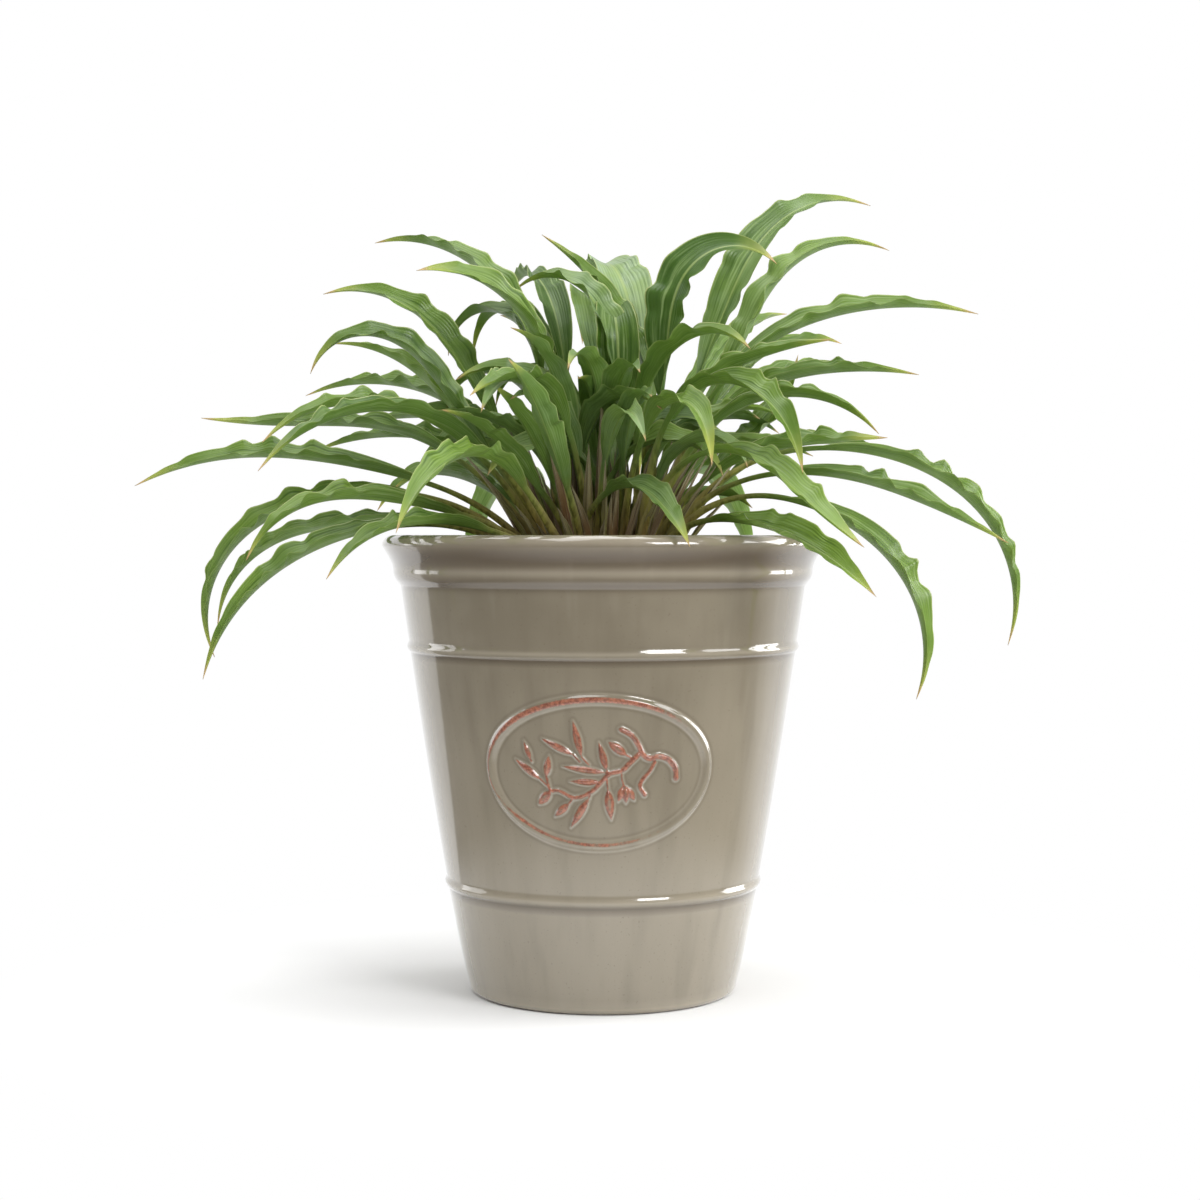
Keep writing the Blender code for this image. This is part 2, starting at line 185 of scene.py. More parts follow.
def lathe(outline, angles):
    """Vertices and faces of a closed turned body whose outline starts and ends on the axis."""
    rings = np.array(outline[1:-1])
    count = len(angles)
    around = np.stack((np.cos(angles), np.sin(angles)), axis=1)
    points = np.empty((len(rings), count, 3))
    points[:, :, :2] = rings[:, None, :1] * around
    points[:, :, 2] = rings[:, 1:]
    verts = [(0.0, 0.0, outline[0][1]), *points.reshape(-1, 3), (0.0, 0.0, outline[-1][1])]
    faces = []
    after = [(j + 1) % count for j in range(count)]
    for i in range(len(rings) - 1):
        top, low = 1 + i * count, 1 + (i + 1) * count
        faces += [(top + j, low + j, low + after[j], top + after[j]) for j in range(count)]
    last = 1 + (len(rings) - 1) * count
    faces += [(0, 1 + j, 1 + after[j]) for j in range(count)]
    faces += [(last + j, len(verts) - 1, last + after[j]) for j in range(count)]
    return np.array(verts), faces


def mesh_object(name, verts, faces, edges=()):
    """A new object in the scene with this mesh, shaded smooth."""
    mesh = bpy.data.meshes.new(name)
    mesh.from_pydata(verts, edges, faces)
    mesh.shade_smooth()
    obj = bpy.data.objects.new(name, mesh)
    bpy.context.scene.collection.objects.link(obj)
    return obj


def store(mesh, name, values, kind="FLOAT"):
    """Keep one number, or one vector, for each vertex."""
    attribute = mesh.attributes.new(name, kind, "POINT")
    field = "value" if kind == "FLOAT" else "vector"
    attribute.data.foreach_set(field, np.asarray(values, np.float32).ravel())


class Wire:
    """A number, colour or place that a node sends on.  A sum with one makes a Math node."""

    def __init__(self, socket):
        self.socket = socket
        self.tree = socket.id_data

    def __add__(self, other):
        return reckon("ADD", self, other)

    def __sub__(self, other):
        return reckon("SUBTRACT", self, other)

    def __rsub__(self, other):
        return reckon("SUBTRACT", other, self)

    def __mul__(self, other):
        return reckon("MULTIPLY", self, other)

    def __truediv__(self, other):
        return reckon("DIVIDE", self, other)

    def __pow__(self, other):
        return reckon("POWER", self, other)


def plug(node, sockets):
    """Set a node's sockets to values, or link them to wires."""
    for name, value in sockets.items():
        if isinstance(value, Wire):
            value.tree.links.new(value.socket, node.inputs[name])
        else:
            node.inputs[name].default_value = value


def add_node(tree, kind, sockets=None, out=0, **settings):
    """What a new node sends on, once its settings and its sockets are set."""
    node = tree.nodes.new(kind)
    for name, value in settings.items():
        setattr(node, name, value)
    plug(node, sockets or {})
    return Wire(node.outputs[out])


def tree_of(values):
    """The node tree that the wires among these values are in."""
    return next(value.tree for value in values if isinstance(value, Wire))


def reckon(operation, *values):
    """Result of a Math node."""
    return add_node(tree_of(values), "ShaderNodeMath", dict(enumerate(values)), operation=operation)


def vector(operation, *values):
    """Result of a Vector Math node."""
    return add_node(tree_of(values), "ShaderNodeVectorMath", dict(enumerate(values)), operation=operation)


def parts(place):
    """The X, Y and Z of a place or a way."""
    node = place.tree.nodes.new("ShaderNodeSeparateXYZ")
    plug(node, {0: place})
    return [Wire(socket) for socket in node.outputs]


def ease(value, low, high):
    """0 where the value is at low, 1 at high, eased in between."""
    sockets = {"Value": value, "From Min": low, "From Max": high}
    return add_node(value.tree, "ShaderNodeMapRange", sockets, interpolation_type="SMOOTHSTEP")


def tint(one, two, share):
    """Colour one, turning into colour two as the share rises to 1."""
    sockets = {0: share, 6: one, 7: two}
    return add_node(tree_of(sockets.values()), "ShaderNodeMix", sockets, 2, data_type="RGBA")


def grain(place, scale, detail=2.0, roughness=0.5):
    """A noise value from 0 to 1."""
    sockets = {"Vector": place, "Scale": scale, "Detail": detail, "Roughness": roughness}
    return add_node(place.tree, "ShaderNodeTexNoise", sockets)


def stretched(place, scale):
    """The place, scaled by its own factor along each axis."""
    return add_node(place.tree, "ShaderNodeMapping", {"Vector": place, "Scale": scale})


def relief(height, distance, strength=1.0):
    """Normal of a surface with this fine relief on it."""
    sockets = {"Height": height, "Distance": distance, "Strength": strength}
    return add_node(height.tree, "ShaderNodeBump", sockets)


def fact(tree, name):
    """A number kept on the mesh under this name."""
    return add_node(tree, "ShaderNodeAttribute", out="Fac", attribute_name=name)


def colour(red, green, blue):
    """A scene colour from its 0-255 screen values."""
    shares = [c / 255 for c in (red, green, blue)]
    return (*[c / 12.92 if c < 0.04 else ((c + 0.055) / 1.055) ** 2.4 for c in shares], 1.0)


def new_material(name):
    """An empty material with its tree, its Principled shader and its Object coordinates."""
    material = bpy.data.materials.new(name)
    material.use_nodes = True
    tree = material.node_tree
    place = add_node(tree, "ShaderNodeTexCoord", out="Object")
    return material, tree, tree.nodes["Principled BSDF"], place


# The oval: a raised ring round a spray of narrow leaflets, twigs and a bud, pressed from a mould
# and stuck on the wall before glazing.  Measured in millimetres from its middle, as if unrolled.
OVAL_WIDTH = 122.0
OVAL_HEIGHT = 81.0
RING_WIDTH = 5.6
RING_PROUD = 2.0
RING_SHOULDER = (0.7, -2.4)    # where the slope at the ring's edges starts and ends
SPRAY_PROUD = 1.9
SPRAY_SHOULDER = (0.7, -1.8)   # likewise, at the spray's edges
OVAL_MARGIN = 3.0              # wall above and below the ring that is moulded with it
TWIGS = (                      # points along each, width at its start and at its end
    (((20, 9.5), (15.5, 5), (12, 1.5), (6, 0), (1.5, -4.5), (-3.5, -9.5), (-12, -12.5), (-20, -9),
      (-24.5, -9), (-26, -3.5)), 3.2, 2.0),
    (((11.5, 22.5), (16.5, 19.5), (20, 14.5), (22.5, 9.5), (26, 7.5), (31, 8.5), (36, 6.5),
      (39.5, 2.5), (40.5, -3)), 3.0, 3.6),
    (((28.5, 5.5), (26.5, 1.5), (22.5, -3.5), (21.5, -7), (24, -11)), 2.4, 2.8),
    (((12, 0), (12, -2.5), (13, -6)), 1.5, 1.5))
LEAFLETS = (                   # tip, base, width, and where its stem ends
    ((-12, 27), (-8, 8.5), 4.2, (-4.5, 4.5)),
    ((-28, 17.5), (-12, 9.5), 4.0, (-9, 6)),
    ((0.5, 16), (4.5, 1.5), 4.2, (5.5, 0)),
    ((5, 16.5), (14, 9.5), 5.0, (16.5, 8)),
    ((-18, 3.5), (4, 0.5), 3.8, (5, 0)),
    ((-14.5, -4), (2, -4.5), 3.8, (2.5, -4)),
    ((-37.5, 16), (-34, 6), 3.2, (-34, 5.5)),
    ((-43, 6.5), (-29.5, -3.5), 4.2, (-25, -7.5)),
    ((-24.5, 9), (-26.5, -2), 4.4, (-26, -3.5)),
    ((-31.5, -16.5), (-24.5, -9.5), 5.2, (-23.5, -9)),
    ((-23, -22.5), (-15, -15.5), 4.4, (-12.5, -12.5)),
    ((-14.5, -28), (-4.5, -12.5), 4.6, (-4, -10)),
    ((7, -24), (5, -8), 5.4, (4.5, -2.5)),
    ((10.5, -14.5), (12.5, -7), 4.0, (13, -6)),
    ((14.5, -15.5), (14, -7), 4.0, (13, -6)),
    ((19, -14), (15, -7.5), 4.0, (13.5, -6.5)))
# Where the glaze is off the ring: direction in degrees from the right, how much clay shows, how
# far from the ring's middle line, and half the width of the bare line.
RING_WEAR = (
    (0, 0.35, -1.9, 0.4), (35, 0.35, -1.6, 0.6), (52, 0.7, -0.6, 1.0), (70, 1.0, -0.2, 1.3),
    (100, 1.0, 0.0, 1.5), (135, 1.0, 0.2, 1.5), (160, 0.9, 0.6, 1.2), (185, 0.9, 1.3, 0.7),
    (205, 0.7, -0.6, 0.5), (225, 0.95, -1.6, 0.7), (250, 0.8, -1.2, 0.7), (275, 0.9, -0.7, 0.9),
    (300, 0.5, -1.0, 0.6), (325, 0.35, -1.7, 0.4))


def off_line(u, v, points, widths):
    """Distance of each place outside a line of points whose width changes along it."""
    best = np.full(u.shape, 99.0)
    count = len(points) - 1
    for i in range(count):
        (x0, y0), (x1, y1) = points[i], points[i + 1]
        long2 = (x1 - x0) ** 2 + (y1 - y0) ** 2
        f = np.clip(((u - x0) * (x1 - x0) + (v - y0) * (y1 - y0)) / long2, 0.0, 1.0)
        away = np.hypot(u - x0 - f * (x1 - x0), v - y0 - f * (y1 - y0))
        best = np.minimum(best, away - np.interp((i + f) / count, *widths) / 2)
    return best


def off_spray(u, v):
    """Distance of each place outside the nearest twig or leaflet; below 0 it is on one."""
    away = np.full(u.shape, 99.0)
    for points, start, end in TWIGS:
        away = np.minimum(away, off_line(u, v, curve_through(points, 3), ((0, 1), (start, end))))
    shares = np.linspace(0, 1, 9)
    for tip, base, width, stem in LEAFLETS:
        along = [tuple(t + (b - t) * s for t, b in zip(tip, base)) for s in shares]
        lens = 0.5 + (width - 0.5) * np.sin(math.pi * shares ** 1.15) ** 0.85
        away = np.minimum(away, off_line(u, v, along, (shares, lens)))
        away = np.minimum(away, off_line(u, v, [base, stem], ((0, 1), (1.6, 1.4))))
    return away


def off_ring(u, v):
    """Distance of each place from the ring's middle line, outwards, and its direction."""
    half = (OVAL_WIDTH - RING_WIDTH) / 2
    tall = (OVAL_HEIGHT - RING_WIDTH) / 2
    level = np.hypot(u / half, v / tall) + 1e-6
    steep = np.hypot(u / half ** 2, v / tall ** 2) / level + 1e-9
    return (level - 1) / steep, np.degrees(np.arctan2(v / tall, u / half)) % 360


def mould_oval(u, v):
    """Height of the moulding, and how bare and how thin the glaze is on it, with painted highlight at its
    edges, and where it pools, with painted shade round the relief's foot.
    """
    spray = off_spray(u, v)
    apart, direction = off_ring(u, v)
    ring = np.abs(apart) - RING_WIDTH / 2
    height = np.maximum(SPRAY_PROUD * smooth(*SPRAY_SHOULDER, spray),
                        RING_PROUD * smooth(*RING_SHOULDER, ring))
    turns = [row[0] for row in RING_WEAR]
    shown, middle, reach = (
        np.interp(direction, turns, [row[i] for row in RING_WEAR], period=360) for i in (1, 2, 3))
    worn = shown * smooth(reach + 0.5, reach - 0.3, np.abs(apart - middle))
    worn = np.maximum(worn, smooth(0.15, -0.55, spray) * (1 - 0.4 * smooth(-1.4, -2.4, spray)))
    edge = np.minimum(spray, ring)
    # a pale line along the relief's edges: thin glaze and painted highlight
    thin = 0.55 * np.exp(-((edge - 0.1) / 0.5) ** 2)
    # a dark halo round the relief's foot: glaze pooling and painted shade
    pooled_glaze_and_shade = 0.3 * np.exp(-((edge - 1.3) / 0.7) ** 2)
    return height, worn, thin, pooled_glaze_and_shade


def glaze_on_rings(z, outside):
    """How thin the glaze is, with painted highlight on the crests, and how much it pools, with painted
    shade in the hollows, by height on the turned mouldings.
    """
    crests = [*THIN_GLAZE_AND_HIGHLIGHT, *[(ridge / MM + 0.3, 1.2) for ridge in RIDGES]]
    hollows = [*POOLED_GLAZE_AND_SHADE, *[(ridge / MM - 3.4, 1.4) for ridge in RIDGES]]
    thin, pooled_glaze_and_shade = (
        sum(np.exp(-((z / MM - at) / reach) ** 2) for at, reach in places) for places in (crests, hollows))
    return thin * outside, pooled_glaze_and_shade * outside


def make_pot():
    """The turned pot with the oval raised on its wall, and its drain holes."""
    verts, faces = lathe(pot_outline(), turn_angles())
    across = np.arctan2(verts[:, 1], verts[:, 0]) + math.pi / 2 + OVAL_SIDE
    across = (across + math.pi) % math.tau - math.pi
    radius = np.hypot(verts[:, 0], verts[:, 1])
    outside = (radius > wall_radius(verts[:, 2]) - 1 * MM).astype(float)
    u = across * wall_radius(OVAL_Z) / MM
    v = (verts[:, 2] - OVAL_Z) / MM
    near = (np.abs(u) < OVAL_REACH / MM) & (np.abs(v) < OVAL_HEIGHT / 2 + OVAL_MARGIN)
    on_oval = (outside > 0) & near
    # paler crests: thin glaze and painted highlight; darker hollows: pooling glaze and painted shade
    thin, pooled_glaze_and_shade = glaze_on_rings(verts[:, 2], outside)
    worn = (verts[:, 2] < 0.2 * MM).astype(float)
    height, bare, edge, foot = mould_oval(u[on_oval], v[on_oval])
    verts[on_oval, :2] *= (1 + height * MM / radius[on_oval])[:, None]
    worn[on_oval] = bare
    thin[on_oval] += edge
    pooled_glaze_and_shade[on_oval] += foot
    pot = mesh_object("glazed_pot", verts, faces)
    for name, values in (("worn", worn), ("thin", thin), ("pooled_glaze_and_shade", pooled_glaze_and_shade)):
        store(pot.data, name, np.clip(values, 0, 1))
    drill(pot)
    return pot


def baked(obj):
    """Turn the object's modifiers into its own mesh."""
    graph = bpy.context.evaluated_depsgraph_get()
    mesh = bpy.data.meshes.new_from_object(obj.evaluated_get(graph))
    obj.modifiers.clear()
    obj.data = mesh
    return obj


def drill(pot):
    """Cut the drain holes through the base."""
    cutter = bpy.data.meshes.new("drill")
    shape = bmesh.new()
    for hole in range(DRAIN_HOLES):
        angle = math.radians(90) + math.tau * hole / DRAIN_HOLES
        place = Vector((math.cos(angle), math.sin(angle), 0.0)) * DRAIN_DISTANCE
        bmesh.ops.create_cone(shape, cap_ends=True, segments=32, radius1=DRAIN_RADIUS,
                              radius2=DRAIN_RADIUS, depth=3 * FLOOR, matrix=Matrix.Translation(place))
    shape.to_mesh(cutter)
    shape.free()
    tool = bpy.data.objects.new("drill", cutter)
    bpy.context.scene.collection.objects.link(tool)
    cut = pot.modifiers.new("drain holes", "BOOLEAN")
    cut.operation = "DIFFERENCE"
    cut.object = tool
    baked(pot)
    bpy.data.objects.remove(tool)


def glaze_material():
    """Taupe glaze: cloudy, streaked down the wall, with painted shade darkening it towards the top,
    lighter where thin with painted highlight, darker where it pools with painted shade.
    """
    material, tree, shader, place = new_material("taupe_glaze")
    runs = grain(stretched(place, (60, 60, 5)), 1.0, 3)
    specks = grain(place, 900, 1)
    high = parts(place)[2] / POT_HEIGHT
    thin = fact(tree, "thin")
    body = tint(colour(116, 107, 89), colour(130, 121, 103), ease(grain(place, 14, 3), 0.35, 0.65))
    # lighter towards the foot, darker higher up: painted shade of the leaves above
    body = tint(body, colour(138, 129, 111), ease(high, 0.9, 0.3))
    # dark band round the top: painted shade under the lip and the leaves
    body = tint(body, colour(98, 86, 68), ease(high, 0.87, 0.93) * 0.55)
    body = tint(body, colour(106, 97, 80), ease(runs, 0.45, 0.75) * 0.4)
    body = tint(body, colour(148, 139, 122), ease(runs, 0.45, 0.25) * 0.3)
    body = tint(body, colour(86, 74, 60), ease(specks, 0.66, 0.8) * 0.3)
    # darker hollows: pooling glaze and painted shade
    body = tint(body, colour(84, 72, 56), fact(tree, "pooled_glaze_and_shade") * 0.85)
    # paler crests and edges: thin glaze and painted highlight
    body = tint(body, colour(164, 155, 137), thin * 0.5)
    bare = ease(grain(place, 330, 3, 0.7) * 0.8 + fact(tree, "worn") * 0.8, 0.72, 1.24)
    fired = ease(grain(place, 520, 3, 0.7), 0.35, 0.65)
    body = tint(body, tint(colour(118, 58, 36), colour(168, 100, 72), fired), bare * 0.95)
    ripple = grain(place, 55, 2) + grain(place, 150, 2) * (thin * 0.6 + 0.12)
    plug(shader, {
        "Base Color": body, "Roughness": bare * 0.22 + 0.13, "Normal": relief(ripple, 0.25 * MM, 0.5),
        "Coat Weight": 1.0, "Coat IOR": 1.6, "Coat Roughness": 0.03})
    return material


pot = make_pot()
pot.data.materials.clear()
pot.data.materials.append(glaze_material())
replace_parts(pot, "pot")
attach(pot, "root")

# ---- potting mix ----------------------------------------------------------------------------
# Peaty potting mix with crumbs, bark chips and a few grains of perlite, poured in round the
# roots and pressed down to a finger's width below the rim.
SOIL_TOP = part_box("soil")[1].z
SOIL_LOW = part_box("soil")[0].z
SOIL_EDGE = 105.4 * MM
SOIL_LUMP = 2.2 * MM           # height of its lumps, all of them below the CAD surface
SOIL_LOOSE = 212 * MM          # above this its surface is loose, with crumbs on it


def soil_outline():
    """The mix's (r, z) outline from the middle of its top, down its side, to its bottom."""
    radii = np.linspace(0, SOIL_EDGE, 48)
    top = [(r, SOIL_TOP - 3 * MM * smooth(30 * MM, SOIL_EDGE, r)) for r in radii]
    side = [(wall_radius(z) - WALL - 0.6 * MM, z) for z in np.linspace(200 * MM, SOIL_LOW, 8)]
    return top + side + [(0.0, SOIL_LOW)]


def make_soil():
    """The lumpy body of the mix."""
    verts, faces = lathe(soil_outline(), np.linspace(0, math.tau, 161)[:-1])
    for vert in verts:
        if vert[2] > SOIL_LOOSE - 2 * MM:
            lump = noise.fractal(Vector(vert) * 90, 0.9, 2.1, 5)
            vert[2] += SOIL_LUMP * (0.45 * lump - 0.5)
    return mesh_object("potting_mix", verts, faces)


def input_named(tree, name):
    """Identifier of a node tree's input."""
    return next(item.identifier for item in tree.interface.items_tree
                if item.name == name and item.in_out == "INPUT")


def new_geometry_tree(name, numbers):
    """A Geometry Nodes tree with a geometry input and these number inputs; returns it and them."""
    tree = bpy.data.node_groups.new(name, "GeometryNodeTree")
    tree.interface.new_socket("Geometry", in_out="OUTPUT", socket_type="NodeSocketGeometry")
    tree.interface.new_socket("Geometry", in_out="INPUT", socket_type="NodeSocketGeometry")
    for label in numbers:
        tree.interface.new_socket(label, in_out="INPUT", socket_type="NodeSocketFloat")
    return tree, {socket.name: Wire(socket) for socket in tree.nodes.new("NodeGroupInput").outputs}


def end_tree(tree, geometry, material):
    """End a tree with real geometry that has its material, which is what an export keeps."""
    real = add_node(tree, "GeometryNodeRealizeInstances", {0: geometry})
    done = add_node(tree, "GeometryNodeSetMaterial", {"Geometry": real, "Material": material})
    plug(tree.nodes.new("NodeGroupOutput"), {0: done})
    return tree


def grow(obj, tree, settings):
    """Run a Geometry Nodes tree on the object with these inputs and keep the result."""
    modifier = obj.modifiers.new(tree.name, "NODES")
    modifier.node_group = tree
    for label, value in settings.items():
        modifier[input_named(tree, label)] = value
    return baked(obj)


def scatter_tree(material):
    """Crumbs of uneven size and turn, scattered over the top of a mesh and half sunk in it."""
    tree, given = new_geometry_tree("scattered crumbs", ("Crumbs", "Size", "Lowest", "Stretch"))
    place = add_node(tree, "GeometryNodeInputPosition")
    facing = parts(add_node(tree, "GeometryNodeInputNormal"))[2]
    top = reckon("GREATER_THAN", parts(place)[2], given["Lowest"]) * reckon("GREATER_THAN", facing, 0.5)
    points = add_node(tree, "GeometryNodeDistributePointsOnFaces", {
        "Mesh": given["Geometry"], "Selection": top, "Density": given["Crumbs"], "Seed": 7})
    crumb = add_node(tree, "GeometryNodeMeshIcoSphere", {"Radius": 1.0, "Subdivisions": 1})
    rough = add_node(tree, "ShaderNodeTexNoise", {"Vector": place, "Scale": 1.4}, "Color")
    crumb = add_node(tree, "GeometryNodeSetPosition", {
        "Geometry": crumb, "Offset": vector("ADD", rough, (-0.5, -0.5, -0.5))})
    size = add_node(tree, "FunctionNodeRandomValue", {2: 0.35, 3: 1.5, "Seed": 3}, 1, data_type="FLOAT")
    size = size * given["Size"]
    scale = add_node(tree, "ShaderNodeCombineXYZ", {0: size * given["Stretch"], 1: size, 2: size * 0.7})
    turn = add_node(tree, "FunctionNodeRandomValue", {
        0: (-0.5, -0.5, 0.0), 1: (0.5, 0.5, math.tau), "Seed": 5}, data_type="FLOAT_VECTOR")
    crumbs = add_node(tree, "GeometryNodeInstanceOnPoints", {
        "Points": points, "Instance": crumb, "Rotation": turn, "Scale": scale})
    return end_tree(tree, crumbs, material)


def peat_material(name, dark, light):
    """Damp crumbly peat or bark."""
    material, _, shader, place = new_material(name)
    body = tint(dark, light, ease(grain(place, 160, 5, 0.7), 0.35, 0.7))
    lumps = relief(grain(place, 700, 5, 0.7), 0.6 * MM)
    plug(shader, {"Base Color": body, "Roughness": 0.9, "Normal": lumps})
    return material


def copy_of(obj, name):
    """A second object with its own copy of the mesh."""
    twin = bpy.data.objects.new(name, obj.data.copy())
    bpy.context.scene.collection.objects.link(twin)
    return twin


soil = make_soil()
soil.data.materials.append(peat_material("peat", colour(38, 27, 20), colour(72, 53, 38)))
top_area = math.pi * SOIL_EDGE ** 2
LOOSE_BITS = (                 # how many, size, stretch, material, darkest and palest colour
    ("soil_crumbs", 2600, 1.5 * MM, 1.2, "peat_crumbs", (44, 31, 22), (86, 64, 46)),
    ("bark_chips", 260, 2.0 * MM, 2.2, "bark", (74, 50, 33), (128, 92, 62)),
    ("perlite_grains", 60, 1.0 * MM, 1.0, "perlite", (190, 186, 176), (222, 220, 212)))
for name, count, size, stretch, finish, dark, light in LOOSE_BITS:
    material = peat_material(finish, colour(*dark), colour(*light))
    scatter = grow(copy_of(soil, name), scatter_tree(material), {
        "Crumbs": count / top_area, "Size": size, "Lowest": SOIL_LOOSE, "Stretch": stretch})
    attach(scatter, "root")
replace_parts(soil, "soil")
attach(soil, "root")

# ---- crown ----------------------------------------------------------------------------------
# The low woody crown that the leaf stalks grow from, with a brown fibrous skin of old leaf bases.
CROWN_RADIUS = 44 * MM
CROWN_HEIGHT = 6 * MM
CROWN_FURROW = 1.3 * MM
CROWN_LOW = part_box("crown")[0].z


def crown_height(radius):
    """Height of the crown's surface at a distance from its middle."""
    share = min(1.0, radius / CROWN_RADIUS)
    return CROWN_LOW + CROWN_HEIGHT * (1 - share ** 3)


def make_crown():
    """A low mound with a furrowed skin."""
    outline = [(r, crown_height(r)) for r in np.linspace(0, CROWN_RADIUS * 0.985, 34)]
    outline += [(CROWN_RADIUS, CROWN_LOW), (0.0, CROWN_LOW)]
    verts, faces = lathe(outline, np.linspace(0, math.tau, 145)[:-1])
    for vert in verts:
        if vert[2] > CROWN_LOW + 0.1 * MM:
            vert[2] -= CROWN_FURROW * abs(noise.fractal(Vector(vert) * 140, 0.8, 2.2, 4))
    return mesh_object("crown_skin", verts, faces)


def crown_material():
    """Brown fibrous skin."""
    material, _, shader, place = new_material("crown_fibre")
    fibres = grain(stretched(place, (500, 500, 60)), 1.0, 4, 0.65)
    skin = tint(colour(62, 50, 26), colour(124, 104, 62), ease(fibres, 0.3, 0.7))
    plug(shader, {"Base Color": skin, "Roughness": 0.8, "Normal": relief(fibres, 0.8 * MM)})
    return material


crown = make_crown()
crown.data.materials.append(crown_material())
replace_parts(crown, "crown")
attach(crown, "root")

# ---- leaves ---------------------------------------------------------------------------------
# Narrow hosta leaves: a channelled stalk that widens into a ruffled blade with parallel veins
# and ends in a long drawn-out tip, which dries yellow.  Each grows straight from the crown.
# `azimuth` is the way it leans, in degrees from +X towards +Y; `pitch` its slope above level
# at the crown, at one third, at two thirds and at the tip; `root` the distance and azimuth of
# its root where that isn't straight under it; `face` how far the blade rolls round to show its
# upper side to the front; `tone` runs from deep green to light; `dry` is where the tip yellows;
# `glaucous` is how much of the waxy blue-grey bloom it still has.
Leaf = namedtuple(
    "Leaf", "azimuth length width pitch root face tone dry glaucous", defaults=(None, 15, 0.5, 0.97, 0.16))
LEAVES = (
    # short leaves at the front of the middle
    Leaf(255, 152, 15, (88, 84, 50, -45), (8, 284), tone=0.6, glaucous=0.5),
    Leaf(300, 146, 17, (90, 84, 20, -30), (14, 219), tone=0.7, glaucous=0.6),
    Leaf(297, 150, 16, (70, 25, -18, -46), (21, 223), glaucous=0.5, dry=0.94),
    # tall leaves in the middle
    Leaf(107, 246, 29, (88, 82, 46, -40), (25, 20), tone=0.9, glaucous=1.5),
    Leaf(98, 240, 26, (86, 79, 34, -60), (14, 90), tone=0.7, glaucous=1.0),
    Leaf(150, 200, 20, (90, 87, 66, -32), (12, 300), tone=0.5, glaucous=0.8),
    Leaf(160, 205, 16, (90, 90, 58, 36), (26, 0)),
    Leaf(106, 246, 18, (90, 84, 36, -24), (18, 180), tone=0.2),
    Leaf(152, 196, 20, (88, 82, 54, -84), (21, 180), tone=0.5, glaucous=0.9),
    Leaf(232, 146, 15, (88, 73, 64, 10), tone=0.6, glaucous=0.7),
    Leaf(292, 180, 16, (88, 56, 0, -75), tone=0.6, dry=0.94),
    Leaf(247, 196, 16, (76, 58, 6, -22)),
    Leaf(252, 153, 14, (58, 48, 40, 20), tone=0.4, glaucous=0.5),
    # left-hand side, top to bottom
    Leaf(142, 256, 19, (80, 82, 40, -4), (20, 207)),
    Leaf(214, 208, 22, (88, 82, 47, -10), (16, 202), face=36, tone=0.7),
    Leaf(174, 214, 20, (71, 62, 50, -12), face=36),
    Leaf(198, 203, 18, (67, 52, 43, -66), face=36, tone=0.3),
    Leaf(168, 186, 16, (65, 54, 43, 0), tone=0.85),
    Leaf(205, 203, 17, (64, 45, 7, -42)),
    Leaf(178, 222, 17, (64, 37, 1, 8), dry=0.94),
    Leaf(216, 222, 17, (70, 39, -4, -46), tone=0.3),
    Leaf(184, 238, 18, (56, 19, 3, -26)),
    Leaf(188, 246, 20, (54, 9, -32, -108)),
    Leaf(238, 192, 18, (44, 36, -14, -54), tone=0.7),
    Leaf(208, 188, 18, (42, 15, -3, -62), tone=0.6),
    Leaf(172, 217, 17, (46, 2, -16, -82)),
    Leaf(200, 223, 17, (40, 0, -32, -74)),
    Leaf(222, 160, 15, (34, 13, -10, -50)),
    # right-hand side, top to bottom
    Leaf(24, 274, 24, (79, 68, 59, -12), (28, 37), face=34, tone=0.4, glaucous=0.5),
    Leaf(358, 216, 29, (92, 78, 76, -42), (24, 326), face=48, tone=0.1),
    Leaf(8, 243, 21, (80, 64, 58, -18), (25, 22), tone=0.7, glaucous=0.4),
    Leaf(357, 257, 20, (88, 61, 18, -12), (24, 2)),
    Leaf(311, 188, 17, (95, 88, 30, -34), (34, 308)),
    Leaf(341, 181, 20, (97, 72, 26, 6), (27, 330)),
    Leaf(4, 206, 17, (95, 60, 14, -8), (30, 10)),
    Leaf(314, 208, 18, (92, 64, -12, -74), (37, 305)),
    Leaf(345, 183, 16, (90, 59, 8, -46), (30, 344)),
    Leaf(312, 208, 20, (95, 28, -30, -28), (38, 299), tone=0.8),
    Leaf(333, 160, 19, (74, 40, 8, 2), (33, 318), dry=0.94),
    Leaf(0, 290, 20, (78, 13, -35, -104), (33, 355)),
    Leaf(349, 215, 16, (78, 16, -18, -28), (33, 342)),
    Leaf(339, 229, 20, (74, -2, -48, -108), (35, 331)),
    Leaf(308, 180, 20, (56, 4, -18, -36), (39, 310), tone=0.75),
    # behind the clump
    Leaf(157, 215, 17, (64, 53, 14, -16)),
    Leaf(165, 170, 17, (74, 46, 6, -20)),
    Leaf(128, 210, 17, (86, 76, 46, -75), (19, 162), tone=0.3),
    Leaf(150, 130, 15, (65, 36, 12, -30)),
    Leaf(136, 190, 19, (58, 30, -5, -40)),
    Leaf(112, 238, 19, (50, 22, -24, -68)),
    Leaf(92, 252, 20, (52, 28, -20, -68)),
    Leaf(82, 250, 21, (74, 48, -8, -62)),
    Leaf(66, 246, 20, (50, 22, -22, -64)),
    Leaf(58, 255, 19, (60, 50, 34, 6)),
    Leaf(38, 215, 18, (70, 58, 34, -10)),
    Leaf(30, 160, 16, (76, 42, 40, 76)),
    Leaf(20, 180, 16, (66, 40, 6, -24)),
    Leaf(45, 137, 16, (62, 48, 28, -8)),
)
